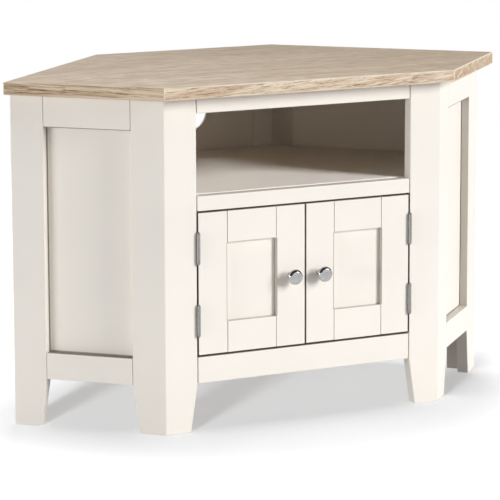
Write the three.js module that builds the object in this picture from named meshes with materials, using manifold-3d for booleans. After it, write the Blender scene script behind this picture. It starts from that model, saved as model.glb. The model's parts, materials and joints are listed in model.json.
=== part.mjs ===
// Corner TV cabinet: painted frames and panels under an oak top, with an open compartment over a cupboard
// that two framed doors close. The plan has six sides, so that the two long walls at the rear fit a room's
// corner. Lengths are in millimetres, +Z is up and the doors face -Y. The origin is on the floor, in the
// middle of the box that the cabinet fills.

import * as THREE from 'three';
import { mergeVertices } from 'three/addons/utils/BufferGeometryUtils.js';
import Module from 'manifold-3d';

const wasm = await Module();
wasm.setup();

// Top board: its front edge, and how far a side edge and a wall edge reach, the same across as back,
// because each of them turns by an eighth of a turn
const topFrontWidth = 520;
const topSideReach = 190;
const topWallReach = 282;
const topThickness = 20;
const topEdgeEase = 1.2;
const frontOverhang = 27;
const sideOverhang = 27;

// Height over all
const overallHeight = 556;

// Clearances and cuts
const fitGap = 0.3; // between wooden pieces that are glued, slotted or pinned together
const seatGap = 0.1; // under the top board and under the metal fittings
const cutOverrun = 5; // how far each cutting solid runs past the piece that it cuts

// Frame boards: the legs are V-shaped posts of two boards, and rails join them
const boardThickness = 19;
const legWidth = 55.5;
const footWidth = 44;
const wallBoardWidth = 45;
const legClearHeight = 78;
const lowerRailHeight = 43;
const sideTopRailHeight = 52;
const frontTopRailHeight = 26;
const middleRailHeight = 25;

// Panels in the frame
const panelThickness = 5;
const panelTongue = 6;
const wallPanelStep = 3; // how far the wall panels lie behind the inner faces of their posts
const cableHoleRadius = 34;
const cableHoleSegments = 48;
const cableHoleTuck = 0.255; // how far the hole's rim rises behind the back's top rail

// Shelf, base and the bearers that carry them
const shelfTopHeight = 380;
const shelfThickness = 17;
const baseThickness = 15;
const bearerHeight = 20;
const bearerDepth = 18;

// Doors
const hingeSideGap = 2.8;
const middleGap = 3.2;
const doorEndGap = 3;
const doorThickness = 20;
const stileWidth = 50.5;
const doorRailHeight = 50;
const doorPanelRecess = 7;
const doorPanelThickness = 5;
const doorTongue = 7;

// Butt hinges
const hingeLength = 47;
const hingePlaceShare = 0.245; // of the door's height, from each end to a hinge's middle
const barrelRadius = 2.9;
const barrelClearance = 0.2;
const pinRadius = 1.6;
const pinClearance = 0.2;
const pinTipRadius = 2.5;
const pinTipLength = 2.6;
const leafThickness = 1.1;
const leafWidth = 15;
const leafHoleRadius = 1.7;
const leafHoleMouthRadius = 3.1;
const leafHoleSegments = 16;
const leafHoleShares = [[-0.72, 0.4], [0, 0.62], [0.72, 0.4]]; // of the half length and of the width
const knuckleCount = 5;
const knuckleGap = 0.3;
const barrelSegments = 24;

// Knobs and the screws that hold them
const knobRadius = 12.6;
const knobHeadThickness = 9;
const knobProjection = 22;
const knobNeckRadius = 4.2;
const knobFootRadius = 6;
const knobFootHeight = 2.5;
const knobSegments = 40;
const knobScrewRadius = 2;
const knobScrewClearance = 0.25;
const knobScrewReach = 9;
const knobScrewHeadRadius = 4;
const knobScrewHeadHeight = 2.4;
const knobScrewSegments = 20;

// Magnetic catch and its strike plates
const catchWidth = 50;
const catchHeight = 24;
const catchBodyDepth = 13;
const catchFootDepth = 26;
const catchFootThickness = 3;
const catchGap = 0.4;
const strikeThickness = 1.2;
const strikeWidth = 20;
const strikeHeight = 18;
const strikeEndDistance = 2;

// Finishes
const finishes = {
  paint: new THREE.MeshStandardMaterial({ color: 0xf1e9df, roughness: 0.5, metalness: 0 }),
  oak: new THREE.MeshStandardMaterial({ color: 0xbfa988, roughness: 0.6, metalness: 0 }),
  steel: new THREE.MeshStandardMaterial({ color: 0x8f8d8a, roughness: 0.35, metalness: 1 }),
  chrome: new THREE.MeshStandardMaterial({ color: 0xd5d7da, roughness: 0.1, metalness: 1 }),
  plastic: new THREE.MeshStandardMaterial({ color: 0xe7e2da, roughness: 0.5, metalness: 0 }),
};

// Sizes worked out from the ones above
const overallWidth = topFrontWidth + 2 * topSideReach;
const overallDepth = topSideReach + topWallReach;
const backWidth = overallWidth - 2 * topWallReach;
const frameHeight = overallHeight - topThickness - seatGap;
const lowerRailTop = legClearHeight + lowerRailHeight;
const shelfUnderside = shelfTopHeight - shelfThickness;
const sidePanelRecess = boardThickness - panelThickness;
const wallPanelRecess = boardThickness - wallPanelStep - panelThickness;
const doorBottom = lowerRailTop + doorEndGap;
const doorTop = shelfTopHeight - middleRailHeight - doorEndGap;
const cableHoleHeight = frameHeight - sideTopRailHeight + cableHoleTuck - cableHoleRadius;

// Adds a named mesh to its group
function addPiece(group, name, geometry, finish) {
  const mesh = new THREE.Mesh(geometry, finish);
  mesh.name = name;
  group.add(mesh);
  return mesh;
}

// A block between two limits on each axis
function block([x0, x1], [y0, y1], [z0, z1]) {
  const geometry = new THREE.BoxGeometry(x1 - x0, y1 - y0, z1 - z0);
  return geometry.translate((x0 + x1) / 2, (y0 + y1) / 2, (z0 + z1) / 2);
}

// A closed geometry as a solid that can be cut and joined
function toSolid(geometry) {
  const bare = geometry.clone();
  bare.deleteAttribute('normal');
  bare.deleteAttribute('uv');
  const merged = mergeVertices(bare);
  const vertProperties = merged.attributes.position.array;
  const triVerts = new Uint32Array(merged.index.array);
  return new wasm.Manifold(new wasm.Mesh({ numProp: 3, vertProperties, triVerts }));
}

// A solid back as a geometry with flat faces
function toGeometry(solid) {
  const mesh = solid.getMesh();
  const geometry = new THREE.BufferGeometry();
  geometry.setAttribute('position', new THREE.BufferAttribute(mesh.vertProperties, mesh.numProp));
  geometry.setIndex(new THREE.BufferAttribute(mesh.triVerts, 1));
  const flat = geometry.toNonIndexed();
  flat.computeVertexNormals();
  return flat;
}

// One geometry joined with some others and then cut by the rest
function carve(geometry, { joined = [], cuts = [] }) {
  let solid = toSolid(geometry);
  for (const other of joined) solid = solid.add(toSolid(other));
  for (const cut of cuts) solid = solid.subtract(toSolid(cut));
  return toGeometry(solid);
}

// A closed body through level outlines that have the same number of points, counterclockwise from above
function loft(levels) {
  const count = levels[0].outline.length;
  const positions = levels.flatMap(({ z, outline }) => outline.flatMap((point) => [point.x, point.y, z]));
  const indices = [];
  const lastRing = (levels.length - 1) * count;
  for (const [a, b, c] of THREE.ShapeUtils.triangulateShape(levels[0].outline, [])) indices.push(c, b, a);
  for (const [a, b, c] of THREE.ShapeUtils.triangulateShape(levels.at(-1).outline, [])) {
    indices.push(lastRing + a, lastRing + b, lastRing + c);
  }
  for (let ring = 0; ring < levels.length - 1; ring += 1) {
    for (let point = 0; point < count; point += 1) {
      const a = ring * count + point;
      const b = ring * count + ((point + 1) % count);
      indices.push(a, b, b + count, a, b + count, a + count);
    }
  }
  const geometry = new THREE.BufferGeometry();
  geometry.setAttribute('position', new THREE.Float32BufferAttribute(positions, 3));
  geometry.setIndex(indices);
  return geometry;
}

// Direction of a plan's edge from one corner to the next, and its normal towards the inside
function edgeOf(plan, index) {
  const from = plan[index];
  const along = plan[(index + 1) % plan.length].clone().sub(from);
  const length = along.length();
  along.normalize();
  return { from, along, inward: new THREE.Vector2(-along.y, along.x), length };
}

// A plan with each of its edges moved inwards by its own distance
function insetPlan(plan, distances) {
  return plan.map((corner, index) => {
    const before = (index + plan.length - 1) % plan.length;
    const a = edgeOf(plan, before);
    const b = edgeOf(plan, index);
    const turn = a.along.cross(b.along);
    const alongA = (distances[before] * a.inward.dot(b.inward) - distances[index]) / -turn;
    return corner.clone().addScaledVector(a.inward, distances[before]).addScaledVector(a.along, -alongA);
  });
}

// A level board with a plan's outline
function plate(plan, low, high) {
  const geometry = new THREE.ExtrudeGeometry(new THREE.Shape(plan), { depth: high - low, bevelEnabled: false });
  return geometry.translate(0, 0, low);
}

// Plans: the edges are the front, right side, right wall, back, left wall and left side, in that order
const topPlan = [
  new THREE.Vector2(-topFrontWidth / 2, -overallDepth / 2),
  new THREE.Vector2(topFrontWidth / 2, -overallDepth / 2),
  new THREE.Vector2(overallWidth / 2, topSideReach - overallDepth / 2),
  new THREE.Vector2(backWidth / 2, overallDepth / 2),
  new THREE.Vector2(-backWidth / 2, overallDepth / 2),
  new THREE.Vector2(-overallWidth / 2, topSideReach - overallDepth / 2),
];
const bodyPlan = insetPlan(topPlan, [frontOverhang, sideOverhang, 0, 0, 0, sideOverhang]);
const insideDepth = boardThickness + fitGap;
const insidePlan = insetPlan(bodyPlan, bodyPlan.map(() => insideDepth));

// Each side of the body has a group with X along the side, Y inwards and Z up
const cabinet = new THREE.Group();
const [frontSide, rightSide, rightWall, backSide, leftWall, leftSide] = bodyPlan.map((corner, index) => {
  const { from, along, length } = edgeOf(bodyPlan, index);
  const group = new THREE.Group();
  group.position.set(from.x, from.y, 0);
  group.rotation.z = Math.atan2(along.y, along.x);
  group.updateMatrix();
  cabinet.add(group);
  return { group, length };
});

// The room that a slotted panel takes: its own size, or grown by the fit gap for the cuts round it
function panelRoom(side, endWidth, recess, [low, high], growth) {
  return block(
    [endWidth - panelTongue - growth, side.length - endWidth + panelTongue + growth],
    [recess - growth, recess + panelThickness + growth],
    [low - panelTongue - growth, high + panelTongue + growth],
  );
}

// The hole in the back's panel that cables pass through
function cableHole(side, recess) {
  const length = panelThickness + 2 * cutOverrun;
  const hole = new THREE.CylinderGeometry(cableHoleRadius, cableHoleRadius, length, cableHoleSegments);
  return hole.translate(side.length / 2, recess + panelThickness / 2, cableHoleHeight);
}

// Two framed sides, two framed walls and a framed back: a top rail, a bottom rail and a slotted panel between
const framedSides = [
  { name: 'left_side', side: leftSide, endWidth: legWidth, recess: sidePanelRecess },
  { name: 'right_side', side: rightSide, endWidth: legWidth, recess: sidePanelRecess },
  { name: 'left_wall', side: leftWall, endWidth: wallBoardWidth, recess: wallPanelRecess },
  { name: 'right_wall', side: rightWall, endWidth: wallBoardWidth, recess: wallPanelRecess },
  { name: 'back', side: backSide, endWidth: wallBoardWidth, recess: wallPanelRecess, hole: true },
];
const panelOpening = [lowerRailTop, frameHeight - sideTopRailHeight];
const panelCuts = [];
for (const { name, side, endWidth, recess, hole } of framedSides) {
  const cut = panelRoom(side, endWidth, recess, panelOpening, fitGap);
  panelCuts.push(cut.clone().applyMatrix4(side.group.matrix));
  const railSpan = [endWidth + fitGap, side.length - endWidth - fitGap];
  const railDepth = [0, boardThickness];
  const topRail = block(railSpan, railDepth, [panelOpening[1], frameHeight]);
  const bottomRail = block(railSpan, railDepth, [legClearHeight, panelOpening[0]]);
  addPiece(side.group, `${name}_top_rail`, carve(topRail, { cuts: [cut] }), finishes.paint);
  addPiece(side.group, `${name}_bottom_rail`, carve(bottomRail, { cuts: [cut] }), finishes.paint);
  const panel = carve(panelRoom(side, endWidth, recess, panelOpening, 0), {
    cuts: hole ? [cableHole(side, recess)] : [],
  });
  addPiece(side.group, `${name}_panel`, panel, finishes.paint);
}

// Legs: a V of two boards at a corner of the body, each with its inner edge tapered down to the foot
function legOutline(index, widthBefore, widthAfter) {
  const before = edgeOf(bodyPlan, (index + bodyPlan.length - 1) % bodyPlan.length);
  const after = edgeOf(bodyPlan, index);
  const corner = bodyPlan[index];
  const endAfter = corner.clone().addScaledVector(after.along, widthAfter);
  const endBefore = corner.clone().addScaledVector(before.along, -widthBefore);
  const mitre = boardThickness / (1 + before.inward.dot(after.inward));
  return [
    corner,
    endAfter,
    endAfter.clone().addScaledVector(after.inward, boardThickness),
    corner.clone().addScaledVector(before.inward, mitre).addScaledVector(after.inward, mitre),
    endBefore.clone().addScaledVector(before.inward, boardThickness),
    endBefore,
  ];
}

const shownBoard = { width: legWidth, foot: footWidth };
const wallBoard = { width: wallBoardWidth, foot: wallBoardWidth };
const legs = [
  { name: 'front_left_leg', before: shownBoard, after: shownBoard },
  { name: 'front_right_leg', before: shownBoard, after: shownBoard },
  { name: 'right_side_leg', before: shownBoard, after: wallBoard },
  { name: 'right_back_leg', before: wallBoard, after: wallBoard },
  { name: 'left_back_leg', before: wallBoard, after: wallBoard },
  { name: 'left_side_leg', before: wallBoard, after: shownBoard },
];
legs.forEach(({ name, before, after }, index) => {
  const post = loft([
    { z: 0, outline: legOutline(index, before.foot, after.foot) },
    { z: legClearHeight, outline: legOutline(index, before.width, after.width) },
    { z: frameHeight, outline: legOutline(index, before.width, after.width) },
  ]);
  addPiece(cabinet, name, carve(post, { cuts: panelCuts }), finishes.paint);
});

// Front rails above the compartment, under the shelf's edge and under the doors
const frontRailSpan = [legWidth + fitGap, frontSide.length - legWidth - fitGap];
const frontRails = [
  { name: 'front_top_rail', low: frameHeight - frontTopRailHeight, high: frameHeight },
  { name: 'front_middle_rail', low: shelfTopHeight - middleRailHeight, high: shelfTopHeight },
  { name: 'front_bottom_rail', low: legClearHeight, high: lowerRailTop },
];
for (const { name, low, high } of frontRails) {
  addPiece(frontSide.group, name, block(frontRailSpan, [0, boardThickness], [low, high]), finishes.paint);
}

// Shelf and base, with a bearer under each along both walls
addPiece(cabinet, 'shelf', plate(insidePlan, shelfUnderside, shelfTopHeight), finishes.paint);
addPiece(cabinet, 'base_panel', plate(insidePlan, lowerRailTop - baseThickness, lowerRailTop), finishes.paint);
const bearers = [
  { name: 'shelf_bearer', top: shelfUnderside - fitGap },
  { name: 'base_bearer', top: lowerRailTop - baseThickness - fitGap },
];
for (const [hand, wall] of [['left', leftWall], ['right', rightWall]]) {
  for (const { name, top } of bearers) {
    const sideEnd = insideDepth + fitGap;
    const backEnd = sideEnd + bearerDepth;
    const span = hand === 'right' ? [sideEnd, wall.length - backEnd] : [backEnd, wall.length - sideEnd];
    const bearer = block(span, [insideDepth, insideDepth + bearerDepth], [top - bearerHeight, top]);
    addPiece(wall.group, `${hand}_${name}`, bearer, finishes.paint);
  }
}

// Top board with eased edges
function topBoard() {
  const options = {
    depth: topThickness - 2 * topEdgeEase,
    bevelThickness: topEdgeEase,
    bevelSize: topEdgeEase,
    bevelOffset: -topEdgeEase,
    bevelSegments: 2,
  };
  return new THREE.ExtrudeGeometry(new THREE.Shape(topPlan), options).translate(0, 0, topEdgeEase);
}
const top = addPiece(cabinet, 'top_board', topBoard(), finishes.oak);
top.position.z = overallHeight - topThickness;

// Doors: distances across are from the cabinet's middle, and distances back are from the front frame's face
const doorOpeningHalf = frontSide.length / 2 - legWidth;
const lockEdge = middleGap / 2;
const hingeEdge = doorOpeningHalf - hingeSideGap;
const grooveFront = doorPanelRecess - fitGap;
const grooveBack = doorPanelRecess + doorPanelThickness + fitGap;
const frontFaceY = frontOverhang - overallDepth / 2;
const knobCentre = { across: lockEdge + stileWidth / 2, height: (doorBottom + doorTop) / 2 };

// A span from the middle outwards, on the left for hand -1 and on the right for hand 1
function across(hand, near, far) {
  return hand > 0 ? [near, far] : [-far, -near];
}

function doorStile(hand, near, far, innerEdge, holes) {
  const grooveFloor = innerEdge === near ? near + doorTongue + fitGap : far - doorTongue - fitGap;
  const grooveMouth = innerEdge === near ? near - cutOverrun : far + cutOverrun;
  const span = across(hand, Math.min(grooveFloor, grooveMouth), Math.max(grooveFloor, grooveMouth));
  const groove = block(span, [grooveFront, grooveBack], [doorBottom - cutOverrun, doorTop + cutOverrun]);
  const board = block(across(hand, near, far), [0, doorThickness], [doorBottom, doorTop]);
  return carve(board, { cuts: [groove, ...holes] });
}

function doorRail(hand, low, high, innerEdge) {
  const near = lockEdge + stileWidth + fitGap;
  const far = hingeEdge - stileWidth - fitGap;
  const board = block(across(hand, near, far), [0, doorThickness], [low, high]);
  const tonguePlace = [doorPanelRecess, doorPanelRecess + doorPanelThickness];
  const tongue = block(across(hand, near - doorTongue, far + doorTongue), tonguePlace, [low, high]);
  const grooveRange = innerEdge === low
    ? [low - cutOverrun, low + doorTongue + fitGap]
    : [high - doorTongue - fitGap, high + cutOverrun];
  const grooveSpan = across(hand, near - doorTongue - cutOverrun, far + doorTongue + cutOverrun);
  const groove = block(grooveSpan, [grooveFront, grooveBack], grooveRange);
  return carve(board, { joined: [tongue], cuts: [groove] });
}

function doorPanel(hand) {
  const near = lockEdge + stileWidth - doorTongue;
  const far = hingeEdge - stileWidth + doorTongue;
  const low = doorBottom + doorRailHeight - doorTongue;
  const high = doorTop - doorRailHeight + doorTongue;
  return block(across(hand, near, far), [doorPanelRecess, doorPanelRecess + doorPanelThickness], [low, high]);
}

// Revolved round a line that points forwards, away from the door
function revolveForwards(profile, segments) {
  const points = profile.map(([radius, reach]) => new THREE.Vector2(radius, reach));
  return new THREE.LatheGeometry(points, segments).rotateX(Math.PI);
}

// Knob: a round head, its low domed face inside a wide bevel, on a waisted neck, with a blind hole for its
// screw. The head's outline is in shares of its radius and of its thickness, from the neck outwards.
const knobHeadShares = [
  [0.66, 0.03], [0.85, 0.1], [0.96, 0.24], [1, 0.42], [0.985, 0.56], [0.93, 0.7],
  [0.78, 0.88], [0.72, 0.925], [0.55, 0.965], [0.3, 0.99], [0, 1],
];

function knob() {
  const hole = knobScrewRadius + knobScrewClearance;
  const holeEnd = knobScrewReach + knobScrewClearance;
  const headStart = knobProjection - knobHeadThickness;
  const flare = knobFootRadius - knobNeckRadius;
  return revolveForwards([
    [0, holeEnd],
    [hole, holeEnd],
    [hole, 0],
    [knobFootRadius, 0],
    [knobFootRadius, knobFootHeight],
    [knobNeckRadius, knobFootHeight + flare],
    [knobNeckRadius, headStart - flare],
    [knobFootRadius, headStart],
    ...knobHeadShares.map(([radiusShare, depthShare]) => [
      knobRadius * radiusShare,
      headStart + knobHeadThickness * depthShare,
    ]),
  ], knobSegments);
}

function knobScrew() {
  const shankLength = doorThickness + knobScrewReach;
  const edgeShare = 0.7;
  return revolveForwards([
    [0, -knobScrewHeadHeight],
    [knobScrewHeadRadius * edgeShare, -knobScrewHeadHeight],
    [knobScrewHeadRadius, -knobScrewHeadHeight * edgeShare],
    [knobScrewHeadRadius, -seatGap],
    [knobScrewRadius, -seatGap],
    [knobScrewRadius, shankLength],
    [0, shankLength],
  ], knobScrewSegments);
}

// Hinges: each leaf is a plate with its own share of the barrel's knuckles, and a pin runs through them all.
// The plates lie on the two edges of the gap at the door's side, and the barrel stands in front of the gap.
// Each plate has countersunk holes for its wood screws, with their mouths towards the middle of the gap.
function knuckle(low, high) {
  const inner = pinRadius + pinClearance;
  const profile = [[inner, low], [barrelRadius, low], [barrelRadius, high], [inner, high], [inner, low]];
  const points = profile.map(([radius, height]) => new THREE.Vector2(radius, height));
  return new THREE.LatheGeometry(points, barrelSegments).rotateX(Math.PI / 2);
}

function leafScrewHole(woodSide, plateMiddle, back, height) {
  const depth = leafThickness + 2 * seatGap;
  const hole = new THREE.CylinderGeometry(leafHoleRadius, leafHoleMouthRadius, depth, leafHoleSegments);
  return hole.rotateZ((-woodSide * Math.PI) / 2).translate(plateMiddle, back, height);
}

function hingeLeaf(woodSide, firstKnuckle) {
  const pitch = hingeLength / knuckleCount;
  const half = hingeLength / 2;
  const plateOuter = hingeSideGap / 2 - seatGap / 2;
  const plateSpan = across(woodSide, plateOuter - leafThickness, plateOuter);
  const plateMiddle = woodSide * (plateOuter - leafThickness / 2);
  const plateFront = barrelRadius + 2 * barrelClearance;
  const plateBack = barrelRadius + barrelClearance + leafWidth;
  const boreRadius = pinRadius + pinClearance;
  const tabFront = (boreRadius + barrelRadius) / 2;
  const joined = [];
  for (let index = firstKnuckle; index < knuckleCount; index += 2) {
    const low = index * pitch - half + (index > 0 ? knuckleGap / 2 : 0);
    const high = (index + 1) * pitch - half - (index < knuckleCount - 1 ? knuckleGap / 2 : 0);
    joined.push(knuckle(low, high), block(plateSpan, [tabFront, plateFront + leafThickness], [low, high]));
  }
  const cuts = leafHoleShares.map(([heightShare, backShare]) => (
    leafScrewHole(woodSide, plateMiddle, plateFront + leafWidth * backShare, half * heightShare)
  ));
  return carve(block(plateSpan, [plateFront, plateBack], [-half, half]), { joined, cuts });
}

function hingePin() {
  const half = hingeLength / 2 + knuckleGap;
  const end = half + pinTipLength;
  const shoulderShare = 0.35;
  const tipShare = 0.55;
  const shoulder = half + pinTipLength * shoulderShare;
  const points = [
    [0, -end],
    [pinTipRadius * tipShare, -end],
    [pinTipRadius, -shoulder],
    [pinTipRadius, -half],
    [pinRadius, -half],
    [pinRadius, half],
    [pinTipRadius, half],
    [pinTipRadius, shoulder],
    [pinTipRadius * tipShare, end],
    [0, end],
  ].map(([radius, height]) => new THREE.Vector2(radius, height));
  return new THREE.LatheGeometry(points, barrelSegments).rotateX(Math.PI / 2);
}

for (const [side, hand] of [['left', -1], ['right', 1]]) {
  const door = new THREE.Group();
  door.position.y = frontFaceY;
  cabinet.add(door);

  const screwHole = new THREE.CylinderGeometry(
    knobScrewRadius + knobScrewClearance,
    knobScrewRadius + knobScrewClearance,
    doorThickness + 2 * cutOverrun,
    knobScrewSegments,
  ).translate(hand * knobCentre.across, doorThickness / 2, knobCentre.height);
  const lockInner = lockEdge + stileWidth;
  const hingeInner = hingeEdge - stileWidth;
  const lockStile = doorStile(hand, lockEdge, lockInner, lockInner, [screwHole]);
  const hingeStile = doorStile(hand, hingeInner, hingeEdge, hingeInner, []);
  const topRail = doorRail(hand, doorTop - doorRailHeight, doorTop, doorTop - doorRailHeight);
  const bottomRail = doorRail(hand, doorBottom, doorBottom + doorRailHeight, doorBottom + doorRailHeight);
  addPiece(door, `${side}_door_lock_stile`, lockStile, finishes.paint);
  addPiece(door, `${side}_door_hinge_stile`, hingeStile, finishes.paint);
  addPiece(door, `${side}_door_top_rail`, topRail, finishes.paint);
  addPiece(door, `${side}_door_bottom_rail`, bottomRail, finishes.paint);
  addPiece(door, `${side}_door_panel`, doorPanel(hand), finishes.paint);

  const knobPlace = [hand * knobCentre.across, 0, knobCentre.height];
  const knobMesh = addPiece(door, `${side}_knob`, knob(), finishes.chrome);
  knobMesh.position.set(...knobPlace);
  knobMesh.position.y -= seatGap;
  const screwMesh = addPiece(door, `${side}_knob_screw`, knobScrew(), finishes.steel);
  screwMesh.position.set(...knobPlace);
  screwMesh.position.y += doorThickness;

  const strikeTop = doorTop - strikeEndDistance;
  const strikeBack = [doorThickness + seatGap, doorThickness + seatGap + strikeThickness];
  const strikeNear = catchWidth / 2 - strikeWidth;
  const strikeSpan = across(hand, strikeNear, strikeNear + strikeWidth);
  const strike = block(strikeSpan, strikeBack, [strikeTop - strikeHeight, strikeTop]);
  addPiece(door, `${side}_strike_plate`, strike, finishes.steel);

  const hingeFromEnd = (doorTop - doorBottom) * hingePlaceShare;
  for (const [level, height] of [['upper', doorTop - hingeFromEnd], ['lower', doorBottom + hingeFromEnd]]) {
    const hinge = new THREE.Group();
    const gapMiddle = doorOpeningHalf - hingeSideGap / 2;
    hinge.position.set(hand * gapMiddle, -barrelRadius - barrelClearance, height);
    door.add(hinge);
    addPiece(hinge, `${side}_${level}_hinge_frame_leaf`, hingeLeaf(hand, 0), finishes.steel);
    addPiece(hinge, `${side}_${level}_hinge_door_leaf`, hingeLeaf(-hand, 1), finishes.steel);
    addPiece(hinge, `${side}_${level}_hinge_pin`, hingePin(), finishes.steel);
  }
}

// Double magnetic catch under the shelf: a foot against the shelf, and a body that hangs behind both doors
function magneticCatch() {
  const profile = new THREE.Shape([
    new THREE.Vector2(0, 0),
    new THREE.Vector2(catchBodyDepth, 0),
    new THREE.Vector2(catchBodyDepth, catchHeight - catchFootThickness),
    new THREE.Vector2(catchFootDepth, catchHeight - catchFootThickness),
    new THREE.Vector2(catchFootDepth, catchHeight),
    new THREE.Vector2(0, catchHeight),
  ]);
  const bar = new THREE.ExtrudeGeometry(profile, { depth: catchWidth, bevelEnabled: false });
  return bar.rotateX(Math.PI / 2).rotateZ(Math.PI / 2).translate(catchWidth / 2, 0, 0);
}
const magnet = addPiece(cabinet, 'magnetic_catch', magneticCatch(), finishes.plastic);
const catchFront = doorThickness + seatGap + strikeThickness + catchGap;
magnet.position.set(0, frontFaceY + catchFront, shelfUnderside - seatGap - catchHeight);

export default cabinet;
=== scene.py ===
"""Looks of the corner TV cabinet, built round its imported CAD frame.

Lengths are in metres in the frame's own axes: X runs across the front, the doors face -Y, Z is up and the
floor is at Z 0. Every board of the frame is copied, merged and given eased edges, and the copy stands for
its node. The oak top, knobs, screws and magnets are surfaces worked out with numpy.
"""

from __future__ import annotations

import json
import logging
import math
from collections.abc import Callable, Iterator, Sequence
from contextlib import contextmanager
from dataclasses import dataclass
from enum import Enum
from functools import partial

import bmesh
import bpy
import numpy as np
from mathutils import Euler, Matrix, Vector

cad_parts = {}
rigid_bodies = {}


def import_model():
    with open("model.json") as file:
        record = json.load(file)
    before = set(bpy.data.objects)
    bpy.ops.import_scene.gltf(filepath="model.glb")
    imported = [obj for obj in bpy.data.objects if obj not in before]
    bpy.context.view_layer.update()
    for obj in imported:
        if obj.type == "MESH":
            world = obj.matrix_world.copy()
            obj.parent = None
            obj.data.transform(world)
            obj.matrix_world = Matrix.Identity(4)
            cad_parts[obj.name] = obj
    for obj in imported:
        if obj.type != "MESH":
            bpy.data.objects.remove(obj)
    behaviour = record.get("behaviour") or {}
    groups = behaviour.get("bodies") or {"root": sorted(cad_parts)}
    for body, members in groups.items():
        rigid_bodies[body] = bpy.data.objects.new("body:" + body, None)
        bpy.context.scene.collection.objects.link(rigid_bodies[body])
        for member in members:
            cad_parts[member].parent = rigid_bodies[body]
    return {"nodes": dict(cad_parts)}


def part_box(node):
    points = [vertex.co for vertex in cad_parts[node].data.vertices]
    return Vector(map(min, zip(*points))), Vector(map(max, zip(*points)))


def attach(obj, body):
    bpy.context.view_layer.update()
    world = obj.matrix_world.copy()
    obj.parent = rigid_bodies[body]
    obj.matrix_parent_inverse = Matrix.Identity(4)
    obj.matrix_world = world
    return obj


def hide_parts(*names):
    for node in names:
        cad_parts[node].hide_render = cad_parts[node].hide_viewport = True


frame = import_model()

log = logging.getLogger("corner_cabinet")

MERGE_DISTANCE = 1e-6
SAME_PLANE = 1e-5
FLAT_ANGLE = math.radians(0.4)
SCREW_CRISP = 35.0
ROUND_CRISP = 50.0
SQUARE_ON = 0.95
SLANT = math.sqrt(0.5)
SCREEN_WHITE = 255
CURVE_START = 0.04045
CURVE_SLOPE = 12.92
CURVE_LIFT = 0.055
CURVE_POWER = 2.4
WHITE = (1.0, 1.0, 1.0)
COOL = (0.97, 0.985, 1.0)

Array = np.ndarray
Vector3 = tuple[float, float, float]
Span = tuple[float, float]
Ramp = tuple[float, float, float, float]
Choice = Callable[[Array, Array], Array]
Plane = tuple[Vector3, Vector3]
Surface = tuple[Array, Array]
Inputs = dict[str | int, object]
Object = bpy.types.Object
Mesh = bpy.types.Mesh
Socket = bpy.types.NodeSocket


class Body(Enum):
    """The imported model's bodies."""

    CARCASS = "carcass"
    LEFT_DOOR = "left_door"
    RIGHT_DOOR = "right_door"


class Slot(Enum):
    """The record's material slots."""

    PAINT = "ivory_paint"
    OAK = "oak_top"
    HINGE_STEEL = "hinge_steel"
    CHROME = "knob_chrome"
    ZINC = "zinc_steel"
    PLASTIC = "catch_plastic"


class Hand(Enum):
    """Left and right as seen from the front, with the sign of their X."""

    LEFT = -1
    RIGHT = 1

    @property
    def word(self) -> str:
        """The word that starts the names of this hand's nodes."""
        return self.name.lower()


class Grain(Enum):
    """Turn, in degrees about X, Y and Z, that lays a pattern's own X axis along a board's grain."""

    ACROSS = (0.0, 0.0, 0.0)
    UPRIGHT = (0.0, -90.0, 0.0)
    BACK_TO_RIGHT = (0.0, 0.0, 45.0)
    BACK_TO_LEFT = (0.0, 0.0, -45.0)

    @property
    def turn(self) -> Euler:
        """The turn itself."""
        return Euler([math.radians(angle) for angle in self.value])


class Way(Enum):
    """Directions, one long, in the frame's axes."""

    UP = (0.0, 0.0, 1.0)
    DOWN = (0.0, 0.0, -1.0)
    LEFT = (-1.0, 0.0, 0.0)
    RIGHT = (1.0, 0.0, 0.0)
    FORWARD = (0.0, -1.0, 0.0)
    FRONT_LEFT = (-SLANT, -SLANT, 0.0)
    FRONT_RIGHT = (SLANT, -SLANT, 0.0)
    BACK_LEFT = (-SLANT, SLANT, 0.0)
    BACK_RIGHT = (SLANT, SLANT, 0.0)


def shade(red: float, green: float, blue: float) -> Vector3:
    """Turns screen values into the scene's linear ones, by the standard curve for each channel.

    Up to the curve's start that is v / slope, and above it ((v + lift) / (1 + lift)) ^ power.

    Args:
        red: Red, 0 to 255.
        green: Green, 0 to 255.
        blue: Blue, 0 to 255.

    Returns:
        The colour in linear values.
    """
    value = np.array((red, green, blue)) / SCREEN_WHITE
    curved = ((value + CURVE_LIFT) / (1 + CURVE_LIFT)) ** CURVE_POWER
    return tuple(np.where(value <= CURVE_START, value / CURVE_SLOPE, curved).tolist())


def times(values: Vector3, share: float) -> Vector3:
    """A colour or a direction times a share."""
    return tuple(value * share for value in values)


@dataclass(frozen=True)
class Marks:
    """A pattern's marks: their size along the grain and across it, and their finer layers and bends."""

    size: Vector3
    detail: float = 3.0
    distortion: float = 0.0
    roughness: float = 0.55


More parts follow.
